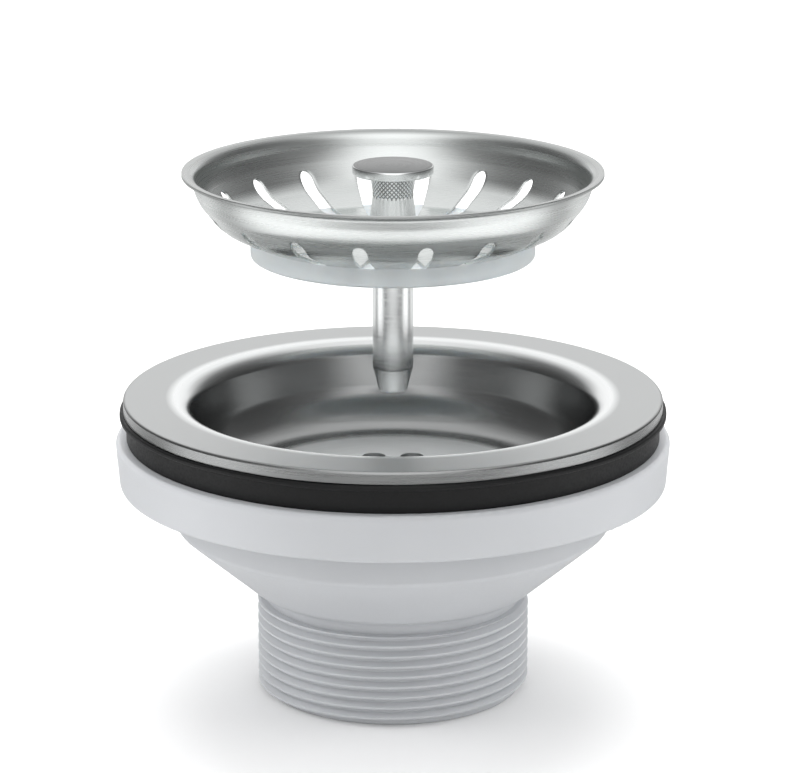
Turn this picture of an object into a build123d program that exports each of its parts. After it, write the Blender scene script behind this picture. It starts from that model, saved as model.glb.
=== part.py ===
from build123d import *
import os

os.makedirs("parts", exist_ok=True)

# Sink waste with a lift-out strainer basket, in millimetres.
# The outlet end stands on z = 0 and the waste's axis is Z.
# The basket is drawn lifted clear above the flange.

# Outlet: a 2 inch parallel pipe thread (G2)
thread_diameter = 59.614
thread_pitch = 2.309
thread_depth = 1.479
thread_length = 20.5
thread_crest = 0.45
thread_root = 0.36
thread_overcut = 0.35
thread_lead = 1.5
end_radius = 0.5
outlet_wall = 2.6
relief_depth = 0.25
relief_length = 2.2

# Moulded body, from the thread up to the gasket seat
neck_height = 3.8
cone_height = 13.6
tier_height = 9.0
rim_height = 10.1
cone_step = 1.993
tier_r = 47.6
tier_draft = 0.4
rim_r = 60.3
rim_draft = 0.8
body_wall = 2.7
rim_plate = 3.2
rim_skirt = 2.6
rim_edge_radius = 1.0
moulded_radius = 1.6
rib_count = 18
rib_thickness = 2.0

# Hub inside the body, which the centre bolt pulls on
hub_r = 11.5
hub_height = 12.0
web_count = 4
web_thickness = 3.0
web_height = 6.5

# Gasket
gasket_height = 6.4
gasket_r = 57.9
gasket_lip_r = 59.3
gasket_lip = 1.1
gasket_clearance = 0.7

# Pressed flange and cup
sheet = 0.8
flange_r = 58.5
flange_edge_height = 2.6
flange_edge_radius = 1.3
mouth_r = 44.3
shoulder_radius = 4.5
cup_depth = 19.0
cup_foot_r = 40.5
cup_corner_radius = 11.5
recess_r = 12.0
recess_depth = 3.0
recess_taper = 1.0
recess_radius = 1.2
drain_count = 12
drain_hole_r = 2.6
drain_ring_r = 16.4

# Centre bolt and nut
bolt_r = 7.0
bolt_head_r = 9.6
bolt_head_height = 2.6
bolt_end = 1.5
bolt_slot_width = 2.2
bolt_slot_depth = 1.3
nut_across_flats = 21.0
nut_height = 7.0
hole_clearance = 0.2
thread_clearance = 0.05

# Strainer basket, depths are below its rim
basket_lift = 49.5
basket_sheet = 0.6
basket_r = 45.1
basket_lip_width = 2.1
basket_lip_radius = 1.6
basket_wall_foot_r = 42.2
basket_wall_depth = 5.2
basket_slope_foot_r = 37.4
basket_slope_depth = 11.3
basket_wall_bend_radius = 8.0
basket_dish_r = 29.0
basket_dish_depth = 15.0
basket_floor_r = 16.5
basket_depth = 15.9
basket_bend_radius = 5.0
slot_count = 18
slot_width = 3.2
slot_inner_r = 18.0
slot_outer_r = 40.2

# Knob, post and stopper seal
knob_top = 1.2
knob_cap_r = 8.7
knob_cap_thickness = 2.0
knob_edge_radius = 0.35
stem_r = 4.4
stem_foot_r = 5.6
stem_flare_height = 9.5
spigot_r = 3.0
spigot_length = 8.0
post_r = 4.4
post_clearance = 0.3
post_below_seal = 30.1
post_tip_r = 3.0
post_taper = 5.3
seal_r = 30.6
seal_depth = 18.5
seal_lip_width = 3.0
seal_hollow = 0.9
seal_edge_radius = 0.6

# Heights and radii that follow from the sizes above
neck_z = thread_length
cone_z = neck_z + neck_height
tier_z = cone_z + cone_height
rim_z = tier_z + tier_height
gasket_z = rim_z + rim_height
edge_z = gasket_z + gasket_height
flange_z = edge_z + flange_edge_height
cup_floor_z = flange_z - cup_depth
recess_z = cup_floor_z - recess_depth
hub_top_z = recess_z - sheet
hub_foot_z = hub_top_z - hub_height
nut_foot_z = hub_foot_z - nut_height
basket_z = flange_z + basket_lift
thread_r = thread_diameter / 2
root_r = thread_r - thread_depth
relief_r = root_r - relief_depth
bore_r = root_r - outlet_wall
body_bore_r = tier_r - body_wall
cone_foot_r = thread_r + cone_step
cone_run = tier_r - cone_foot_r
cone_side = (cone_run**2 + cone_height**2) ** 0.5
cone_inset = body_wall * cone_side / cone_height
bolt_hole_r = bolt_r + hole_clearance


def cone_inner_z(radius):
    """Height of the body's inner cone at a radius."""
    return cone_z + (radius + cone_inset - cone_foot_r) * cone_height / cone_run


def cone_middle_r(height):
    """Radius of the middle of the cone's wall at a height."""
    return cone_foot_r - cone_inset / 2 + (height - cone_z) * cone_run / cone_height


def turned_planes(count):
    """Upright planes through the axis, evenly turned about it."""
    across = [Vector(1, 0, 0).rotate(Axis.Z, 360 * turn / count) for turn in range(count)]
    return [Plane((0, 0, 0), x_dir=x, z_dir=x.rotate(Axis.Z, -90)) for x in across]


# Points of the basket's underside, from the lip to the axis, with the bend at each corner
lip_foot_z = basket_z - basket_sheet
basket_floor_z = basket_z - basket_depth
underside = [
    (basket_r, lip_foot_z),
    (basket_r - basket_lip_width, lip_foot_z),
    (basket_wall_foot_r, basket_z - basket_wall_depth),
    (basket_slope_foot_r, basket_z - basket_slope_depth),
    (basket_dish_r, basket_z - basket_dish_depth),
    (basket_floor_r, basket_floor_z),
]
underside_bends = [
    basket_lip_radius,
    basket_wall_bend_radius,
    basket_wall_bend_radius,
    basket_bend_radius,
    basket_bend_radius,
]

# Pressed flange and cup, one sheet with drain holes
with BuildPart() as flange_cup:
    with BuildSketch(Plane.XZ):
        with BuildLine():
            FilletPolyline(
                (flange_r, edge_z),
                (flange_r, flange_z),
                (mouth_r, flange_z),
                (cup_foot_r, cup_floor_z),
                (recess_r, cup_floor_z),
                (recess_r - recess_taper, recess_z),
                (bolt_hole_r, recess_z),
                radius=[flange_edge_radius, shoulder_radius, cup_corner_radius, recess_radius, recess_radius],
            )
            offset(amount=sheet, side=Side.LEFT, closed=True)
        make_face()
    revolve(axis=Axis.Z)
    with BuildSketch(Plane.XY.offset(cup_floor_z)):
        with PolarLocations(drain_ring_r, drain_count, start_angle=180 / drain_count):
            Circle(drain_hole_r)
    extrude(amount=-2 * sheet, mode=Mode.SUBTRACT)
flange_cup.part.label = "flange_cup"
export_step(flange_cup.part, "parts/flange_cup.step")

# Rubber ring under the flange, with a thin lip around its top
gasket_bore_r = mouth_r + sheet + gasket_clearance
land_outer_r = flange_r - sheet - gasket_clearance
land_inner_r = mouth_r + shoulder_radius
land_z = flange_z - sheet
with BuildPart() as sink_gasket:
    with BuildSketch(Plane.XZ):
        with BuildLine():
            Polyline(
                (gasket_bore_r, gasket_z),
                (gasket_r, gasket_z),
                (gasket_r, edge_z - gasket_lip),
                (gasket_lip_r, edge_z - gasket_lip),
                (gasket_lip_r, edge_z),
                (land_outer_r, edge_z),
                (land_outer_r, land_z),
                (land_inner_r, land_z),
                (land_inner_r, edge_z),
                (gasket_bore_r, edge_z),
                close=True,
            )
        make_face()
    revolve(axis=Axis.Z)
sink_gasket.part.label = "sink_gasket"
export_step(sink_gasket.part, "parts/sink_gasket.step")

# Moulded body: threaded outlet, cone, tier and a ribbed rim, with a hub on webs inside
groove_flank = (thread_pitch - thread_crest - thread_root) / (2 * thread_depth)
groove_mouth = thread_pitch - thread_crest + 2 * groove_flank * thread_overcut
rim_foot_r = rim_r - rim_draft
plate_z = gasket_z - rim_plate
with BuildPart() as waste_body:
    with BuildSketch(Plane.XY.offset(thread_lead)):
        Circle(thread_r)
        Circle((bore_r + relief_r) / 2, mode=Mode.SUBTRACT)
    extrude(amount=thread_length - thread_lead)
    with BuildLine() as thread_path:
        Helix(
            pitch=thread_pitch,
            height=thread_length - thread_lead + 2 * thread_pitch,
            radius=thread_r,
            center=(0, 0, thread_lead - thread_pitch),
        )
    groove_start = Plane(thread_path.line @ 0, x_dir=(1, 0, 0), z_dir=thread_path.line % 0)
    with BuildSketch(groove_start):
        with BuildLine():
            Polyline(
                (thread_overcut, groove_mouth / 2),
                (-thread_depth, thread_root / 2),
                (-thread_depth, -thread_root / 2),
                (thread_overcut, -groove_mouth / 2),
                close=True,
            )
        make_face()
    sweep(path=thread_path.line, is_frenet=True, mode=Mode.SUBTRACT)
    with BuildSketch(Plane.XZ):
        with BuildLine():
            FilletPolyline(
                (bore_r, 0),
                (relief_r, 0),
                (relief_r, neck_z + relief_length),
                (cone_foot_r, cone_z),
                (tier_r, tier_z),
                (tier_r + tier_draft, plate_z),
                (rim_foot_r - rim_skirt, plate_z),
                (rim_foot_r - rim_skirt, rim_z),
                (rim_foot_r, rim_z),
                (rim_r, gasket_z),
                (body_bore_r, gasket_z),
                (body_bore_r, cone_inner_z(body_bore_r)),
                (bore_r, cone_inner_z(bore_r)),
                radius=[
                    0,
                    end_radius,
                    moulded_radius,
                    moulded_radius,
                    moulded_radius,
                    rim_edge_radius,
                    rim_edge_radius,
                    0,
                    rim_edge_radius,
                    rim_edge_radius,
                    0,
                    moulded_radius,
                    moulded_radius,
                ],
                close=True,
            )
        make_face()
    revolve(axis=Axis.Z)
    with BuildSketch(*turned_planes(rib_count)):
        with BuildLine():
            Polyline(
                (tier_r - body_wall / 2, rim_z + rim_edge_radius),
                (rim_foot_r - rim_skirt / 2, rim_z + rim_edge_radius),
                (rim_foot_r - rim_skirt / 2, gasket_z - rim_plate / 2),
                (tier_r - body_wall / 2, gasket_z - rim_plate / 2),
                close=True,
            )
        make_face()
    extrude(amount=rib_thickness / 2, both=True)
    with BuildSketch(Plane.XY.offset(hub_foot_z)):
        Circle(hub_r)
    extrude(amount=hub_height)
    with BuildSketch(*turned_planes(web_count)):
        with BuildLine():
            Polyline(
                (hub_r / 2, hub_foot_z),
                (cone_middle_r(hub_foot_z), hub_foot_z),
                (cone_middle_r(hub_foot_z + web_height), hub_foot_z + web_height),
                (hub_r / 2, hub_foot_z + web_height),
                close=True,
            )
        make_face()
    extrude(amount=web_thickness / 2, both=True)
    with BuildSketch(Plane.XY.offset(hub_foot_z)):
        Circle(bolt_hole_r)
    extrude(amount=hub_height, mode=Mode.SUBTRACT)
waste_body.part.label = "waste_body"
export_step(waste_body.part, "parts/waste_body.step")

# Hollow bolt that pulls the cup onto the hub, its bore takes the basket's post
bolt_head_z = recess_z + bolt_head_height
bolt_foot_z = nut_foot_z - bolt_end
bolt_bore_r = post_r + post_clearance
with BuildPart() as centre_bolt:
    with BuildSketch(Plane.XZ):
        with BuildLine():
            Polyline(
                (bolt_bore_r, bolt_foot_z),
                (bolt_r, bolt_foot_z),
                (bolt_r, recess_z),
                (bolt_head_r, recess_z),
                (bolt_head_r, bolt_head_z),
                (bolt_bore_r, bolt_head_z),
                close=True,
            )
        make_face()
    revolve(axis=Axis.Z)
    with BuildSketch(Plane.XY.offset(bolt_head_z)):
        Rectangle(2 * bolt_head_r + bolt_slot_width, bolt_slot_width)
    extrude(amount=-bolt_slot_depth, mode=Mode.SUBTRACT)
centre_bolt.part.label = "centre_bolt"
export_step(centre_bolt.part, "parts/centre_bolt.step")

# Hexagon nut under the hub
with BuildPart() as hub_nut:
    with BuildSketch(Plane.XY.offset(nut_foot_z)):
        RegularPolygon(nut_across_flats / 2, 6, major_radius=False)
        Circle(bolt_r + thread_clearance, mode=Mode.SUBTRACT)
    extrude(amount=nut_height)
hub_nut.part.label = "hub_nut"
export_step(hub_nut.part, "parts/hub_nut.step")

# Pressed basket with radial slots
spigot_hole_r = spigot_r + hole_clearance
with BuildPart() as strainer_basket:
    with BuildSketch(Plane.XZ):
        with BuildLine():
            FilletPolyline(*underside, (spigot_hole_r, basket_floor_z), radius=underside_bends)
            offset(amount=basket_sheet, side=Side.RIGHT, closed=True)
        make_face()
    revolve(axis=Axis.Z)
    slot_half_angle = 180 / slot_count
    slot_centre_r = (slot_inner_r + slot_outer_r) / 2
    with BuildSketch(Plane.XY.offset(basket_z)):
        with PolarLocations(slot_centre_r, slot_count, start_angle=slot_half_angle - 90):
            SlotOverall(slot_outer_r - slot_inner_r, slot_width)
    extrude(amount=-2 * basket_depth, mode=Mode.SUBTRACT)
strainer_basket.part.label = "strainer_basket"
export_step(strainer_basket.part, "parts/strainer_basket.step")

# Knob: a flat cap on a stem that flares to its foot on the basket's floor
knob_top_z = basket_z + knob_top
cap_foot_z = knob_top_z - knob_cap_thickness
stem_foot_z = basket_floor_z + basket_sheet
socket_z = basket_floor_z + spigot_length + thread_clearance
socket_r = spigot_r + thread_clearance
with BuildPart() as knob:
    with BuildSketch(Plane.XZ):
        with BuildLine():
            FilletPolyline(
                (0, knob_top_z),
                (knob_cap_r, knob_top_z),
                (knob_cap_r, cap_foot_z),
                (stem_r, cap_foot_z),
                (stem_r, stem_foot_z + stem_flare_height),
                (stem_foot_r, stem_foot_z),
                (socket_r, stem_foot_z),
                (socket_r, socket_z),
                (0, socket_z),
                radius=[0, knob_edge_radius, knob_edge_radius, knob_edge_radius, stem_flare_height, 0, 0, 0, 0],
                close=True,
            )
        make_face()
    revolve(axis=Axis.Z)
knob.part.label = "knob"
export_step(knob.part, "parts/knob.step")

# Post: a spigot in the knob, a shoulder under the basket's floor and a tapered tip
seal_z = basket_z - seal_depth
tip_z = seal_z - post_below_seal
with BuildPart() as post:
    with BuildSketch(Plane.XZ):
        with BuildLine():
            Polyline(
                (0, tip_z),
                (post_tip_r, tip_z),
                (post_r, tip_z + post_taper),
                (post_r, basket_floor_z),
                (spigot_r, basket_floor_z),
                (spigot_r, basket_floor_z + spigot_length),
                (0, basket_floor_z + spigot_length),
                close=True,
            )
        make_face()
    revolve(axis=Axis.Z)
post.part.label = "post"
export_step(post.part, "parts/post.step")

# Stopper seal: its top lies against the basket's underside, its lip closes on the cup's floor
seal_bore_r = post_r + thread_clearance
with BuildPart() as stopper_seal:
    with BuildSketch(Plane.XZ):
        with BuildLine():
            FilletPolyline(
                (seal_bore_r, basket_z),
                (seal_r, basket_z),
                (seal_r, seal_z),
                (seal_r - seal_lip_width, seal_z),
                (seal_r - seal_lip_width - seal_hollow, seal_z + seal_hollow),
                (seal_bore_r, seal_z + seal_hollow),
                radius=[0, 0, seal_edge_radius, 0, 0, 0],
                close=True,
            )
        make_face()
    revolve(axis=Axis.Z)
    with BuildSketch(Plane.XZ):
        with BuildLine():
            FilletPolyline(*underside, (0, basket_floor_z), radius=underside_bends)
            Polyline((0, basket_floor_z), (0, knob_top_z), (basket_r, knob_top_z), (basket_r, lip_foot_z))
        make_face()
    revolve(axis=Axis.Z, mode=Mode.SUBTRACT)
stopper_seal.part.label = "stopper_seal"
export_step(stopper_seal.part, "parts/stopper_seal.step")
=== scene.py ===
# %% [markdown]
# # A sink waste with its strainer basket lifted out
#
# The object is a kitchen sink waste: a pressed steel flange with a cup, a black rubber ring,
# a white moulded body with a pipe thread, and a steel basket that lifts out on a knob.
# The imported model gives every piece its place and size. This file gives each piece its finish,
# and models again the pieces whose small forms catch the light: rounded sheet edges, a knurl,
# a soft gasket lip. All lengths are in metres, and MM turns the millimetres of a drawing into them.

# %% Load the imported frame
import math

import bmesh
import bpy
import numpy
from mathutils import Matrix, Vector


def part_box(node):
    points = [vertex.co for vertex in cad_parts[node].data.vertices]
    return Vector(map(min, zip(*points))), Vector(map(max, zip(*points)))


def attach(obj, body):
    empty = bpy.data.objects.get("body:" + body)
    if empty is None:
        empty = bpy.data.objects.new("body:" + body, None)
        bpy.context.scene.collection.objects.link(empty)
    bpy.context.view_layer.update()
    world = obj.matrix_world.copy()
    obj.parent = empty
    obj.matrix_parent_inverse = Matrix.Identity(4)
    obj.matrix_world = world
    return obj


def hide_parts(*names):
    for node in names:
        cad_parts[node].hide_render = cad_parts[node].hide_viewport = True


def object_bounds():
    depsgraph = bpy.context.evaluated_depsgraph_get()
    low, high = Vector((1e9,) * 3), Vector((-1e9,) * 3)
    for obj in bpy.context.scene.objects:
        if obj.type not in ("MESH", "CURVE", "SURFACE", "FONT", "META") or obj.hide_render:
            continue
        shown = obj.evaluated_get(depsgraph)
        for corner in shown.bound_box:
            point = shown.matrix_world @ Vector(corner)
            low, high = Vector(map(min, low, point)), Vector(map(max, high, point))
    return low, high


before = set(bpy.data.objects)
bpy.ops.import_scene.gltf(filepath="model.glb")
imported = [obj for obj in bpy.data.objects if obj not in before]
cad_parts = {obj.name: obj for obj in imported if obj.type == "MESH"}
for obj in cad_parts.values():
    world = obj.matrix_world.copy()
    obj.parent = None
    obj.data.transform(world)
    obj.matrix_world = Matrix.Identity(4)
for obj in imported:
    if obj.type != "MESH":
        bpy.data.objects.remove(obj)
cad_low, cad_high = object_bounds()
MM = 0.001
SAME_PLACE = 0.001 * MM
print("frame box in mm:", [round(side / MM, 1) for side in cad_high - cad_low])

# %% [markdown]
# ## The camera
#
# The photograph looks slightly down on the flange from about 0.7 m away. A camera could be
# placed by eye, but two ellipses settle it: the flange and the basket's rim are circles of known
# size, so the flatness of each ellipse gives the camera's height, and the difference between the
# two gives its distance. The lens then follows from how wide the flange is in the picture.

# %% Place the camera
image_width = 790
focal_pixels = 3445
sensor_width_mm = 36
camera_distance = 720 * MM
camera_above_flange = 203.0 * MM
camera_aside = 0.44 * MM
camera_pitch = math.radians(15.63)
flange_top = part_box("flange_cup")[1].z

bpy.ops.object.camera_add(
    location=(camera_aside, -camera_distance, flange_top + camera_above_flange),
    rotation=(math.pi / 2 - camera_pitch, 0, 0),
)
camera = bpy.context.object
camera.data.sensor_width = sensor_width_mm
camera.data.lens = focal_pixels * sensor_width_mm / image_width
bpy.context.scene.camera = camera
print("lens in mm:", round(camera.data.lens, 1))

# %% [markdown]
# ## Colours and nodes
#
# Colours are written as the hex values that a picture editor shows, and Blender works with
# linear light, so one function turns the first into the second. Another small function adds one
# shader node, sets it and links it. The others join the few nodes that come back in every finish:
# a ramp of greys, a change of range, two colours multiplied or blended.


# %% Colour and node helpers
def linear(hex_colour):
    """A hex colour as the linear red, green, blue and alpha that a socket takes."""
    shares = [int(hex_colour[place : place + 2], 16) / 255 for place in (1, 3, 5)]
    light = [s / 12.92 if s <= 0.04045 else ((s + 0.055) / 1.055) ** 2.4 for s in shares]
    return (*light, 1)


def add_node(tree, kind, inputs=None, **settings):
    """Adds one node. An input that is another node's socket is linked, any other is set."""
    made = tree.nodes.new(kind)
    for setting, value in settings.items():
        setattr(made, setting, value)
    for socket, value in (inputs or {}).items():
        if isinstance(value, bpy.types.NodeSocket):
            tree.links.new(value, made.inputs[socket])
        else:
            made.inputs[socket].default_value = value
    return made


def new_finish(name, **sockets):
    """A material with its main shader, whose constant sockets are set by name."""
    finish = bpy.data.materials.new(name)
    finish.use_nodes = True
    shader = finish.node_tree.nodes["Principled BSDF"]
    for socket, value in sockets.items():
        shader.inputs[socket.replace("_", " ")].default_value = value
    return finish, finish.node_tree, shader


def grey_ramp(tree, value, stops):
    """Greys along a value: each stop is a place from 0 to 1 and its linear grey."""
    ramp = add_node(tree, "ShaderNodeValToRGB", {"Fac": value})
    elements = ramp.color_ramp.elements
    while len(elements) < len(stops):
        elements.new(0.5)
    for element, (place, grey) in zip(elements, stops):
        element.position = place
        element.color = (grey, grey, grey, 1)
    return ramp.outputs["Color"]


def map_range(tree, value, low, high, to_low=0.0, to_high=1.0):
    """A value's range from low to high, drawn out to another range."""
    ranged = add_node(
        tree,
        "ShaderNodeMapRange",
        {"Value": value, "From Min": low, "From Max": high, "To Min": to_low, "To Max": to_high},
    )
    return ranged.outputs["Result"]


def times(tree, one, other):
    """Two colours multiplied."""
    product = add_node(
        tree,
        "ShaderNodeMix",
        {"Factor": 1.0, "A": one, "B": other},
        data_type="RGBA",
        blend_type="MULTIPLY",
    )
    return product.outputs["Result"]


def blend(tree, factor, first, second):
    """From a first colour to a second one, by a factor."""
    mixed = add_node(
        tree, "ShaderNodeMix", {"Factor": factor, "A": first, "B": second}, data_type="RGBA"
    )
    return mixed.outputs["Result"]


print("white as linear light:", linear("#ffffff"))

# %% [markdown]
# ## Floor and light
#
# The object stands on white paper. Steel shows the room more than its own colour, so the room
# decides what the steel looks like: all in white it would look like paper too. A photographer
# hangs grey cards just out of the picture. Here the camera sees white paper, and reflections and
# bounced light see a paper that is white under the object, grey behind it and nearly black in a
# strip in front, which gives the flange's edge its dark band. The sky is dark at both sides, so
# bowls and bends get bright middles and dark ends. Three soft boxes light paper, rubber and
# plastic. They are hidden from reflections, where their outlines would show as hard squares. From
# below, the paper is clear, so the underside of the object can be looked at too.

# %% Floor
bpy.ops.object.select_all(action="DESELECT")
floor_size = 12.0
bpy.ops.mesh.primitive_plane_add(size=floor_size)
floor = bpy.context.object
floor.name = "pale_floor"
paper, paper_tree, paper_shader = new_finish("white_paper", Roughness=0.9)
paper_place = add_node(paper_tree, "ShaderNodeTexCoord")
paper_along = add_node(
    paper_tree, "ShaderNodeSeparateXYZ", {"Vector": paper_place.outputs["Object"]}
)
card_reach = 0.5
card_share = map_range(paper_tree, paper_along.outputs["Y"], -card_reach, card_reach)
card_stops = [
    (0.14, 0.95),
    (0.19, 0.08),
    (0.28, 0.08),
    (0.35, 0.92),
    (0.48, 0.85),
    (0.56, 0.28),
    (0.61, 0.28),
    (0.68, 0.55),
    (1.0, 0.35),
]
card_tone = grey_ramp(paper_tree, card_share, card_stops)
ray = add_node(paper_tree, "ShaderNodeLightPath")
paper_tone = blend(paper_tree, ray.outputs["Is Camera Ray"], card_tone, linear("#f9f9f9"))
paper_tree.links.new(paper_tone, paper_shader.inputs["Base Color"])
paper_side = add_node(paper_tree, "ShaderNodeNewGeometry")
paper_clear = add_node(paper_tree, "ShaderNodeBsdfTransparent")
paper_surface = add_node(
    paper_tree,
    "ShaderNodeMixShader",
    {
        "Fac": paper_side.outputs["Backfacing"],
        1: paper_shader.outputs["BSDF"],
        2: paper_clear.outputs["BSDF"],
    },
)
paper_out = paper_tree.nodes["Material Output"]
paper_tree.links.new(paper_surface.outputs["Shader"], paper_out.inputs["Surface"])
floor.data.materials.append(paper)
print("floor of", floor_size, "m with", len(card_stops), "greys for reflections")

# %% Sky and lamps
sky = bpy.data.worlds.new("studio_sky")
sky.use_nodes = True
bpy.context.scene.world = sky
sky_tree = sky.node_tree
direction = add_node(sky_tree, "ShaderNodeTexCoord")
along = add_node(sky_tree, "ShaderNodeSeparateXYZ", {"Vector": direction.outputs["Generated"]})
sky_strength = 1.45
aside = add_node(sky_tree, "ShaderNodeMath", {0: along.outputs["X"]}, operation="ABSOLUTE")
aside_stops = [(0.0, 1.0), (0.30, 0.90), (0.65, 0.18), (1.0, 0.10)]
rise_stops = [(0.0, 0.55), (0.10, 0.95), (0.26, 1.0)]
depth_share = map_range(sky_tree, along.outputs["Y"], -1, 1)
depth_stops = [(0.0, 1.0), (0.30, 1.0), (0.45, 0.8), (0.70, 0.7), (0.85, 0.85)]
sky_aside = grey_ramp(sky_tree, aside.outputs["Value"], aside_stops)
sky_rise = grey_ramp(sky_tree, along.outputs["Z"], rise_stops)
sky_depth = grey_ramp(sky_tree, depth_share, depth_stops)
sky_grey = times(sky_tree, times(sky_tree, sky_aside, sky_rise), sky_depth)
sky_light = sky_tree.nodes["Background"]
sky_light.inputs["Strength"].default_value = sky_strength
sky_tree.links.new(sky_grey, sky_light.inputs["Color"])


def soft_lamp(name, place, size, watts):
    """A square soft box that points at the middle of the object, unseen in reflections."""
    middle = (cad_low + cad_high) / 2
    turn = (middle - Vector(place)).to_track_quat("-Z", "Y").to_euler()
    bpy.ops.object.light_add(type="AREA", location=place, rotation=turn)
    lamp = bpy.context.object
    lamp.name = name
    lamp.data.size = size
    lamp.data.energy = watts
    lamp.visible_glossy = False


soft_lamp("left_soft_box", (-1.0, 0.1, 0.55), 0.8, 7.0)
soft_lamp("right_soft_box", (1.0, 0.1, 0.55), 0.8, 6.0)
soft_lamp("back_soft_box", (0.0, 0.7, 1.2), 1.2, 14.0)
bpy.context.scene.view_settings.view_transform = "Standard"
print("sky strength", sky_strength, "with", len(aside_stops), "greys from the middle to the sides")

# %% [markdown]
# ## How round pieces are made
#
# Nearly everything here was turned on a lathe, pressed over a round die or moulded round. Such a
# piece could start from a cylinder, but its section is what a maker draws, so each one starts as
# a single point that is extruded from corner to corner of its section. Corners that the real
# piece has rounded are bevelled to their radius, and the finished line is spun about the axis.


# %% Section and lathe helpers
def say_size(piece):
    """Prints a piece's faces and its size."""
    sides = ", ".join(f"{side / MM:.1f}" for side in piece.dimensions)
    print(f"{piece.name}: {len(piece.data.polygons)} faces, {sides} mm")


def draw_section(name, corners, closed, arc_steps):
    """Extrudes a point along (radius, height, rounding) corners, then rounds them."""
    places = [Vector((radius, 0, height)) for radius, height, rounding in corners]
    bpy.ops.object.select_all(action="DESELECT")
    bpy.ops.mesh.primitive_plane_add(size=MM)
    piece = bpy.context.object
    piece.name = name
    bpy.ops.object.mode_set(mode="EDIT")
    bpy.ops.mesh.select_mode(type="VERT")
    bpy.ops.mesh.select_all(action="SELECT")
    bpy.ops.mesh.merge(type="CENTER")
    bpy.ops.transform.translate(value=places[0])
    route = places + places[:1] if closed else places
    for here, there in zip(route, route[1:]):
        bpy.ops.mesh.extrude_vertices_move(TRANSFORM_OT_translate={"value": there - here})
    bpy.ops.mesh.select_all(action="SELECT")
    bpy.ops.mesh.remove_doubles(threshold=SAME_PLACE)
    for index, (radius, height, rounding) in enumerate(corners):
        if rounding:
            coming = places[index] - places[index - 1]
            going = places[(index + 1) % len(places)] - places[index]
            select_points(piece, places[index])
            bpy.ops.mesh.bevel(
                affect="VERTICES",
                offset=rounding * math.tan(coming.angle(going) / 2),
                segments=arc_steps,
                profile=0.5,
                clamp_overlap=False,
            )
    return piece


def select_points(piece, place):
    """Selects the points of a piece in edit mode that lie at one place."""
    shape = bmesh.from_edit_mesh(piece.data)
    for point in shape.verts:
        point.select = (point.co - place).length < SAME_PLACE
    shape.select_flush_mode()
    bmesh.update_edit_mesh(piece.data)


def turn_section(piece, steps):
    """Spins a drawn section about the axis, closes its seam and leaves edit mode."""
    bpy.ops.mesh.select_all(action="SELECT")
    bpy.ops.mesh.spin(steps=steps, angle=2 * math.pi, center=(0, 0, 0), axis=(0, 0, 1))
    bpy.ops.mesh.select_all(action="SELECT")
    bpy.ops.mesh.remove_doubles(threshold=SAME_PLACE)
    bpy.ops.mesh.dissolve_degenerate(threshold=SAME_PLACE / 2)
    bpy.ops.mesh.normals_make_consistent(inside=False)
    bpy.ops.object.mode_set(mode="OBJECT")
    return piece


def turned_piece(name, corners, closed=True, arc_steps=8, steps=192):
    """A round piece from its section."""
    return turn_section(draw_section(name, corners, closed, arc_steps), steps)


def apply_modifier(piece, kind, **settings):
    """Adds one modifier with its settings and applies it."""
    bpy.context.view_layer.objects.active = piece
    modifier = piece.modifiers.new(kind.title(), kind)
    for setting, value in settings.items():
        setattr(modifier, setting, value)
    bpy.ops.object.modifier_apply(modifier=modifier.name)


def smooth_faces(piece, angle):
    """Smooth shading, with edges sharper than the angle left crisp."""
    bpy.ops.object.select_all(action="DESELECT")
    piece.select_set(True)
    bpy.context.view_layer.objects.active = piece
    bpy.ops.object.shade_smooth_by_angle(angle=math.radians(angle))


def hand_over(piece, node, body, finish):
    """The finished piece takes the place of its node and rides on its body."""
    piece.data.materials.clear()
    piece.data.materials.append(finish)
    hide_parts(node)
    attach(piece, body)
    say_size(piece)


print("lathe ready")

# %% [markdown]
# ## Steel that was pressed and brushed in circles
#
# The flange and the basket are stainless steel sheet. The flange was brushed while it turned, so
# its grain runs in circles. The die burnished its shoulder and the cup's wall smooth and left the
# cup's floor satin, so the roughness changes with the distance from the axis. The colour changes
# with that distance too, as painted light: a painted highlight on the cup's floor and the
# shoulder, painted shade on the cup's wall and the turned-down edge.
# A grain drawn in straight lines would look wrong on a round piece, so the pattern is read in
# round coordinates: the distance from the axis sets the line, and the direction only stretches it
# slowly. Real grain is near 0.05 mm and too fine to show here, so it is drawn about six times as
# coarse.


# %% Circular grain
def round_grain(tree, line_width, streak_angle):
    """Noise in rings about the axis: lines of that width, streaks of that angle in radians."""
    place = add_node(tree, "ShaderNodeTexCoord")
    flat = add_node(
        tree,
        "ShaderNodeVectorMath",
        {0: place.outputs["Object"], 1: (1, 1, 0)},
        operation="MULTIPLY",
    )
    radius = add_node(tree, "ShaderNodeVectorMath", {0: flat.outputs["Vector"]}, operation="LENGTH")
    heading = add_node(
        tree, "ShaderNodeVectorMath", {0: flat.outputs["Vector"]}, operation="NORMALIZE"
    )
    slow = add_node(
        tree,
        "ShaderNodeVectorMath",
        {0: heading.outputs["Vector"], "Scale": line_width / streak_angle},
        operation="SCALE",
    )
    height = add_node(tree, "ShaderNodeSeparateXYZ", {"Vector": place.outputs["Object"]})
    reach = add_node(
        tree,
        "ShaderNodeMath",
        {0: radius.outputs["Value"], 1: height.outputs["Z"]},
        operation="ADD",
    )
    across = add_node(tree, "ShaderNodeCombineXYZ", {"Z": reach.outputs["Value"]})
    ringed = add_node(
        tree,
        "ShaderNodeVectorMath",
        {0: slow.outputs["Vector"], 1: across.outputs["Vector"]},
        operation="ADD",
    )
    grain = add_node(
        tree,
        "ShaderNodeTexNoise",
        {"Vector": ringed.outputs["Vector"], "Scale": 1 / line_width, "Detail": 3.0},
    )
    return grain.outputs["Fac"], radius.outputs["Value"]


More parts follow.
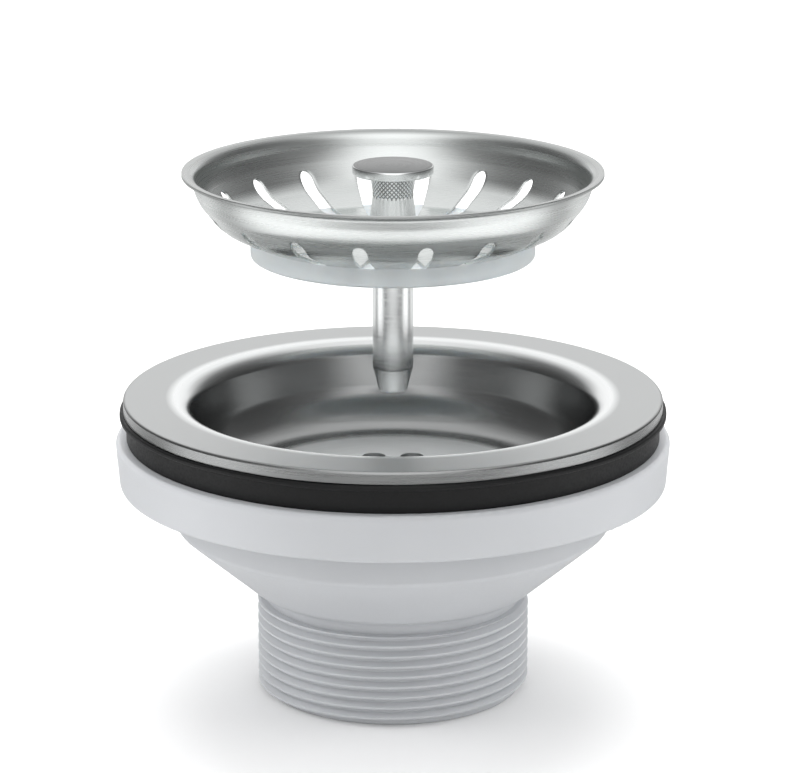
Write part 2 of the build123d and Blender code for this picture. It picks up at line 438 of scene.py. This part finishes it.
def bump(tree, shader, height, strength, depth):
    """Links a height pattern to the shader as bump of that depth."""
    raised = add_node(
        tree,
        "ShaderNodeBump",
        {"Height": height, "Strength": strength, "Distance": depth},
    )
    tree.links.new(raised.outputs["Normal"], shader.inputs["Normal"])


def roughen(tree, shader, pattern, low, high):
    """Links a noise pattern to the shader as roughness from low to high."""
    tree.links.new(map_range(tree, pattern, 0.3, 0.7, low, high), shader.inputs["Roughness"])


def brushed_stainless():
    """Brushed flange, burnished shoulder, satin floor, and painted light and shade by zone."""
    finish, tree, shader = new_finish("brushed_stainless", Metallic=1.0)
    grain, radius = round_grain(tree, 0.3 * MM, 0.35)
    cup_floor_r = 30.0 * MM
    past_edge_r = 60.0 * MM
    across = map_range(tree, radius, cup_floor_r, past_edge_r)
    wear_stops = [
        (0.03, 0.50),
        (0.10, 0.20),
        (0.44, 0.20),
        (0.55, 0.20),
        (0.645, 0.42),
        (0.925, 0.42),
        (0.945, 0.28),
    ]
    wear = grey_ramp(tree, across, wear_stops)
    spread = map_range(tree, grain, 0.3, 0.7, -0.03, 0.03)
    rough = add_node(tree, "ShaderNodeMath", {0: wear, 1: spread}, operation="ADD")
    tree.links.new(rough.outputs["Value"], shader.inputs["Roughness"])
    tone = blend(tree, grain, linear("#eceeee"), linear("#fafcfc"))
    # Painted light and shade by distance from the axis: a painted highlight on the cup's floor and
    # the shoulder, painted shade on the cup's wall and the turned-down edge.
    painted_light_stops = [
        (0.035, 1.0),
        (0.10, 0.40),
        (0.455, 0.40),
        (0.49, 0.85),
        (0.585, 0.85),
        (0.645, 0.56),
        (0.925, 0.56),
        (0.945, 0.38),
    ]
    painted_light = grey_ramp(tree, across, painted_light_stops)
    tree.links.new(times(tree, tone, painted_light), shader.inputs["Base Color"])
    bump(tree, shader, grain, 0.015, 0.02 * MM)
    return finish


flange_steel = brushed_stainless()
print("finish:", flange_steel.name)

# %% [markdown]
# ## The flange and its cup
#
# One sheet of steel, 0.8 mm thick, makes the flange, its turned-down edge, the rounded shoulder
# and the cup. A solid ring with a cut-out could stand for it, but the sheet shows its thickness
# at the edge and at the drain holes. So only its top skin is drawn and spun, a Solidify modifier
# gives the sheet its thickness downwards, and a Boolean modifier drills the twelve holes.

# %% Flange and cup
flange_low, flange_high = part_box("flange_cup")
flange_r = flange_high.x
sheet = 0.8 * MM
edge_foot = flange_high.z - 2.6 * MM
cup_floor = flange_high.z - 19.0 * MM
recess_floor = flange_low.z + sheet
mouth_r = 44.3 * MM
cup_foot_r = 40.5 * MM
recess_r = 12.0 * MM
recess_foot_r = 11.0 * MM
bolt_hole_r = 7.2 * MM
edge_bend = 0.6 * MM
shoulder_bend = 4.5 * MM
cup_bend = 11.5 * MM
recess_bend = 1.2 * MM
top_skin = [
    (flange_r, edge_foot, 0),
    (flange_r, flange_high.z, edge_bend),
    (mouth_r, flange_high.z, shoulder_bend),
    (cup_foot_r, cup_floor, cup_bend),
    (recess_r, cup_floor, recess_bend),
    (recess_foot_r, recess_floor, recess_bend),
    (bolt_hole_r, recess_floor, 0),
]
flange_cup = turned_piece("pressed_flange_cup", top_skin, closed=False, arc_steps=14, steps=240)


def face_skin(piece, wanted):
    """Turns an open skin over if, on the whole, it looks away from the wanted direction."""
    facing = sum(face.area * face.normal.dot(wanted) for face in piece.data.polygons)
    if facing < 0:
        bpy.context.view_layer.objects.active = piece
        bpy.ops.object.mode_set(mode="EDIT")
        bpy.ops.mesh.select_all(action="SELECT")
        bpy.ops.mesh.flip_normals()
        bpy.ops.object.mode_set(mode="OBJECT")


def thicken(piece, thickness):
    """Gives a skin its sheet's thickness, on the side that it looks away from."""
    apply_modifier(
        piece,
        "SOLIDIFY",
        thickness=thickness,
        offset=-1,
        use_even_offset=True,
        use_quality_normals=True,
    )


def break_edges(piece, width):
    """Bevels the sharp edges of a cut sheet."""
    apply_modifier(
        piece,
        "BEVEL",
        width=width,
        segments=2,
        limit_method="ANGLE",
        angle_limit=math.radians(50),
    )


face_skin(flange_cup, Vector((0, 0, 1)))
thicken(flange_cup, sheet)

# %% Drill the drain holes
drain_count = 12
drain_ring_r = 16.4 * MM
drain_hole_r = 2.6 * MM
drill_length = 6 * MM
drills = []
for turn in range(drain_count):
    angle = (turn + 0.5) * 2 * math.pi / drain_count
    place = (drain_ring_r * math.cos(angle), drain_ring_r * math.sin(angle), cup_floor)
    bpy.ops.object.select_all(action="DESELECT")
    bpy.ops.mesh.primitive_cylinder_add(
        vertices=64, radius=drain_hole_r, depth=drill_length, location=place
    )
    drills.append(bpy.context.object)
for drill in drills:
    drill.select_set(True)
bpy.ops.object.join()
drill = bpy.context.object
apply_modifier(flange_cup, "BOOLEAN", object=drill, operation="DIFFERENCE", solver="EXACT")
bpy.data.objects.remove(drill)
break_edges(flange_cup, 0.14 * MM)
smooth_faces(flange_cup, 35)
apply_modifier(flange_cup, "WEIGHTED_NORMAL", keep_sharp=True)
hand_over(flange_cup, "flange_cup", "waste", flange_steel)

# %% [markdown]
# ## The rubber ring
#
# The black ring under the flange is soft moulded rubber. Its top ends in a thin lip that is
# squeezed out past the flange and never lies quite true. It could stay a plain ring, but that
# lip is the first thing the eye finds at the edge, so the spun ring has every edge rounded and
# its lip is then moved up and down by a slow wave of a fifth of a millimetre.

# %% Rubber ring
gasket_low, gasket_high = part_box("sink_gasket")
gasket_r = 57.9 * MM
gasket_lip_r = gasket_high.x
gasket_lip = 1.1 * MM
gasket_bore_r = 45.8 * MM
land_outer_r = 57.0 * MM
land_inner_r = 48.8 * MM
land_top = gasket_high.z
soft_edge = 0.35 * MM
gasket_section = [
    (gasket_bore_r, gasket_low.z, soft_edge),
    (gasket_r, gasket_low.z, soft_edge),
    (gasket_r, edge_foot - gasket_lip, soft_edge),
    (gasket_lip_r, edge_foot - gasket_lip, soft_edge),
    (gasket_lip_r, edge_foot, soft_edge),
    (land_outer_r, edge_foot, 0),
    (land_outer_r, land_top, 0),
    (land_inner_r, land_top, 0),
    (land_inner_r, edge_foot, 0),
    (gasket_bore_r, edge_foot, soft_edge),
]
gasket = turned_piece("rubber_ring", gasket_section, arc_steps=5, steps=240)
wave_height = 0.18 * MM
for point in gasket.data.vertices:
    reach = math.hypot(point.co.x, point.co.y)
    if reach > gasket_r + soft_edge:
        angle = math.atan2(point.co.y, point.co.x)
        share = (reach - gasket_r) / (gasket_lip_r - gasket_r)
        wave = 0.6 * math.sin(5 * angle + 0.8) + 0.4 * math.sin(11 * angle)
        point.co.z += share * wave_height * (wave - 1)
smooth_faces(gasket, 40)


def speckle(tree, size, detail):
    """Even noise in the piece's own place, with spots of about that size."""
    place = add_node(tree, "ShaderNodeTexCoord")
    noise = add_node(
        tree,
        "ShaderNodeTexNoise",
        {"Vector": place.outputs["Object"], "Scale": 1 / size, "Detail": detail},
    )
    return noise.outputs["Fac"]


def moulded_rubber():
    """EPDM rubber from a matt mould: near black, a matt grain and a soft grey sheen."""
    finish, tree, shader = new_finish("moulded_black_rubber", IOR=1.36)
    grit = speckle(tree, 0.5 * MM, 4.0)
    bloom = speckle(tree, 14 * MM, 2.0)
    tone = blend(tree, bloom, linear("#070708"), linear("#0f1011"))
    tree.links.new(tone, shader.inputs["Base Color"])
    roughen(tree, shader, grit, 0.42, 0.58)
    bump(tree, shader, grit, 0.25, 0.03 * MM)
    return finish


hand_over(gasket, "sink_gasket", "waste", moulded_rubber())

# %% [markdown]
# ## The strainer basket
#
# The basket is a thin pressed bowl with eighteen long slots, rounded at both ends. Cutting slots
# with a Boolean modifier leaves long thin faces that spoil the reflections in polished steel.
# Instead one half of one slot's share of the bowl is a grid, whose columns are pushed aside to
# run along the slot's edge. Mirrored and copied round the axis, the grids close up everywhere but
# at the slots, and all faces stay even.

# %% Section of the basket's underside
basket_low, basket_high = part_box("strainer_basket")
basket_sheet = 0.6 * MM
basket_r = basket_high.x
lip_width = 2.1 * MM
lip_foot = basket_high.z - basket_sheet
spigot_hole_r = 3.2 * MM
basket_floor_r = 16.5 * MM
dish_r = 29.0 * MM
dish_foot = basket_high.z - 15.0 * MM
slope_r = 37.4 * MM
slope_foot = basket_high.z - 11.3 * MM
wall_r = 42.2 * MM
wall_foot = basket_high.z - 5.2 * MM
floor_bend = 5.0 * MM
wall_bend = 8.0 * MM
lip_bend = 1.6 * MM
underside_corners = [
    (spigot_hole_r, basket_low.z, 0),
    (basket_floor_r, basket_low.z, floor_bend),
    (dish_r, dish_foot, floor_bend),
    (slope_r, slope_foot, wall_bend),
    (wall_r, wall_foot, wall_bend),
    (basket_r - lip_width, lip_foot, lip_bend),
    (basket_r, lip_foot, 0),
]
drawn = draw_section("basket_section", underside_corners, closed=False, arc_steps=10)
bpy.ops.object.mode_set(mode="OBJECT")
underside = sorted((point.co.x, point.co.z) for point in drawn.data.vertices)
bpy.data.objects.remove(drawn)
print("underside drawn with", len(underside), "points")

# %% Rows along the slot
slot_count = 18
slot_inner_r = 18.0 * MM
slot_outer_r = 40.2 * MM
slot_half = 1.6 * MM
end_steps = 8
straight_steps = 30


def slot_half_width(radius):
    """Half the slot's width at a distance from the axis, nought outside it."""
    from_end = min(radius - slot_inner_r, slot_outer_r - radius)
    if from_end <= 0:
        return 0.0
    short = max(slot_half - from_end, 0)
    return math.sqrt(slot_half**2 - short**2)


end_turns = [step * math.pi / 2 / end_steps for step in range(end_steps + 1)]
inner_rows = [slot_inner_r + slot_half * (1 - math.cos(turn)) for turn in end_turns]
outer_rows = [slot_outer_r - slot_half * (1 - math.cos(turn)) for turn in reversed(end_turns)]
gap = (outer_rows[0] - inner_rows[-1]) / straight_steps
straight_rows = [inner_rows[-1] + gap * step for step in range(1, straight_steps)]
slot_rows = inner_rows + straight_rows + outer_rows
margin = 0.3 * MM
flat_steps = 10
inner_gap = (slot_inner_r - margin - spigot_hole_r) / flat_steps
floor_rows = [spigot_hole_r + inner_gap * step for step in range(flat_steps + 1)]
wall_rows = [radius for radius, height in underside if radius > slot_outer_r + margin]
row_radii = floor_rows + slot_rows + wall_rows
known_r = [radius for radius, height in underside]
known_z = [height for radius, height in underside]
row_heights = numpy.interp(row_radii, known_r, known_z)
print("rows in one slot's share:", len(row_radii))

# %% One slot's share, mirrored and copied round the axis
columns = 8
share_angle = math.pi / slot_count
front = share_angle - math.pi / 2
bpy.ops.object.select_all(action="DESELECT")
bpy.ops.mesh.primitive_grid_add(x_subdivisions=columns, y_subdivisions=len(row_radii) - 1, size=2)
basket = bpy.context.object
basket.name = "slotted_basket"
for point in basket.data.vertices:
    row = round((point.co.y + 1) / 2 * (len(row_radii) - 1))
    across = (point.co.x + 1) / 2
    radius = row_radii[row]
    edge_angle = math.asin(slot_half_width(radius) / radius)
    angle = edge_angle + across * (share_angle - edge_angle)
    point.co = (
        radius * math.cos(front + angle),
        radius * math.sin(front + angle),
        row_heights[row],
    )
half_share = basket.data
other_half = half_share.copy()
for point in other_half.vertices:
    turned = 2 * front - math.atan2(point.co.y, point.co.x)
    reach = math.hypot(point.co.x, point.co.y)
    point.co.x = reach * math.cos(turned)
    point.co.y = reach * math.sin(turned)
twin = bpy.data.objects.new("other_half", other_half)
bpy.context.collection.objects.link(twin)
twin.select_set(True)
bpy.ops.object.join()
bpy.ops.object.mode_set(mode="EDIT")
bpy.ops.mesh.select_all(action="SELECT")
bpy.ops.mesh.spin(
    steps=slot_count, dupli=True, angle=2 * math.pi, center=(0, 0, 0), axis=(0, 0, 1)
)
bpy.ops.mesh.select_all(action="SELECT")
bpy.ops.mesh.remove_doubles(threshold=0.01 * MM)
bpy.ops.mesh.normals_make_consistent(inside=False)
bpy.ops.object.mode_set(mode="OBJECT")
face_skin(basket, Vector((0, 0, -1)))
thicken(basket, basket_sheet)
break_edges(basket, 0.12 * MM)
smooth_faces(basket, 35)
say_size(basket)


# %% Polished steel on the basket
def polished_stainless():
    """Stainless sheet drawn over a die and polished: soft reflections, faint rings, a darker lip.
    """
    finish, tree, shader = new_finish("polished_stainless", Metallic=1.0)
    grain, radius = round_grain(tree, 0.35 * MM, 0.5)
    roughen(tree, shader, grain, 0.25, 0.32)
    tone = blend(tree, grain, linear("#d5d8d7"), linear("#dfe2e1"))
    lip_start_r = 42.5 * MM
    lip_end_r = 43.4 * MM
    # The colour darkens towards the lip.
    darker_lip = map_range(tree, radius, lip_start_r, lip_end_r, 1.0, 0.55)
    tree.links.new(times(tree, tone, darker_lip), shader.inputs["Base Color"])
    bump(tree, shader, grain, 0.03, 0.02 * MM)
    return finish


hand_over(basket, "strainer_basket", "basket", polished_stainless())

# %% [markdown]
# ## Knob and post
#
# The knob is one turned piece: a flat cap on a stem whose upper part is knurled for wet fingers,
# with a smooth foot that flares out to the basket's floor. The knurl could be a bump map, but a
# bump map leaves the stem's edge straight. Here the stem's skin has rows and columns fine enough
# to press the crossing grooves into it, and painted shade darkens the colour in their depth, so
# that they still show from afar. The cap's top is painted dark too, as painted shade. The post is
# turned from bar too, and only needs rounded corners and a tapered tip.

# %% Knob
knob_low, knob_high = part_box("knob")
cap_r = knob_high.x
cap_foot = knob_high.z - 2.0 * MM
stem_r = 4.4 * MM
stem_foot_r = 5.6 * MM
flare_top = knob_low.z + 9.5 * MM
knurl_foot = flare_top + 0.4 * MM
knurl_top = cap_foot - 0.7 * MM
cap_edge = 0.45 * MM
knurl_pitch = 0.95 * MM
knurl_depth = 0.25 * MM
cuts_around = 29
steps_per_cut = 10
groove_slope = 4.4
knurl_rows = round((knurl_top - knurl_foot) / knurl_pitch * steps_per_cut)
row_gap = (knurl_top - knurl_foot) / knurl_rows
knob_section = [
    (0, knob_high.z, 0),
    (cap_r, knob_high.z, cap_edge),
    (cap_r, cap_foot, cap_edge),
    (stem_r, cap_foot, cap_edge),
    *[(stem_r, knurl_top - row_gap * row, 0) for row in range(knurl_rows + 1)],
    (stem_r, flare_top, 0),
    (stem_foot_r, knob_low.z, 0),
    (0, knob_low.z, 0),
]
knob = turned_piece(
    "knurled_knob", knob_section, closed=False, arc_steps=6, steps=cuts_around * steps_per_cut
)


def groove(share):
    """Depth of a V groove across one pitch, from 0 on the ridge to 1 in its middle."""
    return max(0.0, 1 - abs(share % 1 - 0.5) * groove_slope)


for point in knob.data.vertices:
    reach = math.hypot(point.co.x, point.co.y)
    if knurl_foot < point.co.z < knurl_top and abs(reach - stem_r) < 0.01 * MM:
        around = math.atan2(point.co.y, point.co.x) / (2 * math.pi) * cuts_around
        up = (point.co.z - knurl_foot) / knurl_pitch
        depth = max(groove(around + up), groove(around - up))
        sunk = 1 - knurl_depth * depth / reach
        point.co.x *= sunk
        point.co.y *= sunk
smooth_faces(knob, 30)


def turned_bright_metal(name, painted_dark_above, ridge_r):
    """Nickel-plated turned bar: faint rings, painted shade above a height and in grooves under a
    ridge.
    """
    finish, tree, shader = new_finish(name, Metallic=1.0)
    grain, radius = round_grain(tree, 0.25 * MM, 1.2)
    roughen(tree, shader, grain, 0.16, 0.26)
    tone = blend(tree, grain, linear("#e6e8e8"), linear("#f2f4f4"))
    # Painted shade: the colour darkens in the grooves below the ridge, where shade falls.
    sunk = map_range(tree, radius, ridge_r - 0.2 * MM, ridge_r - 0.05 * MM, 0.4, 1.0)
    tone_with_painted_groove_shade = times(tree, tone, sunk)
    place = add_node(tree, "ShaderNodeTexCoord")
    height = add_node(tree, "ShaderNodeSeparateXYZ", {"Vector": place.outputs["Object"]})
    # Painted shade: above that height, the cap's top is painted dark grey.
    painted_dark_top = map_range(tree, height.outputs["Z"], painted_dark_above - 0.1 * MM, painted_dark_above)
    tone_with_painted_shade = blend(tree, painted_dark_top, tone_with_painted_groove_shade, linear("#2e3232"))
    tree.links.new(tone_with_painted_shade, shader.inputs["Base Color"])
    bump(tree, shader, grain, 0.08, 0.02 * MM)
    return finish


knob_metal = turned_bright_metal("turned_knob_metal", knob_high.z - 0.02 * MM, stem_r)
hand_over(knob, "knob", "basket", knob_metal)

# %% Post
post_low, post_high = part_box("post")
post_r = post_high.x
post_shoulder = basket_low.z
spigot_r = 3.0 * MM
tip_r = 3.0 * MM
taper_top = post_low.z + 5.3 * MM
tip_bend = 0.5 * MM
taper_bend = 2.0 * MM
spigot_bend = 0.3 * MM
post_section = [
    (0, post_low.z, 0),
    (tip_r, post_low.z, tip_bend),
    (post_r, taper_top, taper_bend),
    (post_r, post_shoulder, 0),
    (spigot_r, post_shoulder, 0),
    (spigot_r, post_high.z, spigot_bend),
    (0, post_high.z, 0),
]
post = turned_piece("turned_post", post_section, closed=False, arc_steps=8, steps=96)
smooth_faces(post, 30)
bright_metal = turned_bright_metal("turned_bright_metal", knob_high.z, 0)
hand_over(post, "post", "basket", bright_metal)

# %% [markdown]
# ## The silicone seal
#
# Under the basket a plug of clear silicone closes the waste when the knob is pushed down. It is
# thick enough to look milky and thin enough to show the post behind its wall. A white plastic
# would hide the post and glass would be too clear, so the shader lets under half the light through
# a rough skin. The seal's top follows the basket's underside, so its points come from that line.

# %% Seal
seal_low, seal_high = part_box("stopper_seal")
seal_r = seal_high.x
seal_bore_r = 4.45 * MM
seal_lip = 3.0 * MM
seal_hollow = 0.9 * MM
seal_gap = 0.02 * MM
seal_edge_bend = 0.6 * MM
seal_lip_bend = 0.3 * MM


def seat_height(radius):
    """Height of the seal's top at a distance from the axis, just under the basket."""
    return float(numpy.interp(radius, known_r, known_z)) - seal_gap


seat_r = [radius for radius, height in underside if seal_bore_r < radius < seal_r]
seal_section = [
    (seal_bore_r, basket_low.z - seal_gap, 0),
    *[(radius, seat_height(radius), 0) for radius in seat_r],
    (seal_r, seat_height(seal_r), 0),
    (seal_r, seal_low.z, seal_edge_bend),
    (seal_r - seal_lip, seal_low.z, seal_lip_bend),
    (seal_r - seal_lip - seal_hollow, seal_low.z + seal_hollow, seal_lip_bend),
    (seal_bore_r, seal_low.z + seal_hollow, 0),
]
seal = turned_piece("silicone_seal", seal_section, arc_steps=6, steps=192)
smooth_faces(seal, 35)


def clear_silicone():
    """Unfilled silicone rubber: milky, slightly blue, with a soft moulded skin."""
    finish, tree, shader = new_finish("clear_silicone", IOR=1.41)
    shader.inputs["Base Color"].default_value = linear("#f0f6f9")
    shader.inputs["Transmission Weight"].default_value = 0.42
    shader.inputs["Subsurface Weight"].default_value = 0.6
    shader.inputs["Subsurface Radius"].default_value = (2.0 * MM, 2.2 * MM, 2.4 * MM)
    roughen(tree, shader, speckle(tree, 6 * MM, 2.0), 0.42, 0.52)
    return finish


hand_over(seal, "stopper_seal", "basket", clear_silicone())

# %% [markdown]
# ## The moulded body, bolt and nut
#
# The body is injection moulded polypropylene: white, waxy, with a very fine skin. Bolt and nut
# sit inside it and show only through the cup and from below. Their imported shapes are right, so
# they stay and take better finishes.


# %% Finishes for the body, bolt and nut
def moulded_polypropylene():
    """White polypropylene: waxy gloss, slight depth, and a fine spark-eroded mould grain."""
    finish, tree, shader = new_finish("white_polypropylene", IOR=1.49)
    shader.inputs["Subsurface Weight"].default_value = 0.12
    shader.inputs["Subsurface Radius"].default_value = (1.2 * MM, 1.1 * MM, 1.0 * MM)
    grain = speckle(tree, 0.45 * MM, 3.0)
    flow = speckle(tree, 30 * MM, 2.0)
    tone = blend(tree, flow, linear("#c1c3c6"), linear("#cbcdd0"))
    tree.links.new(tone, shader.inputs["Base Color"])
    roughen(tree, shader, grain, 0.34, 0.46)
    bump(tree, shader, grain, 0.08, 0.02 * MM)
    return finish


def drawn_brass():
    """Brass from hexagon bar: warm, with faint rings from the lathe."""
    finish, tree, shader = new_finish("drawn_brass", Metallic=1.0)
    grain, radius = round_grain(tree, 0.25 * MM, 1.2)
    roughen(tree, shader, grain, 0.22, 0.34)
    tone = blend(tree, grain, linear("#b89a52"), linear("#cdb06a"))
    tree.links.new(tone, shader.inputs["Base Color"])
    bump(tree, shader, grain, 0.08, 0.02 * MM)
    return finish


node_finishes = {
    "waste_body": moulded_polypropylene(),
    "centre_bolt": bright_metal,
    "hub_nut": drawn_brass(),
}
for node, finish in node_finishes.items():
    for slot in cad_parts[node].material_slots:
        slot.material = finish
    print(node, "finished in", finish.name)
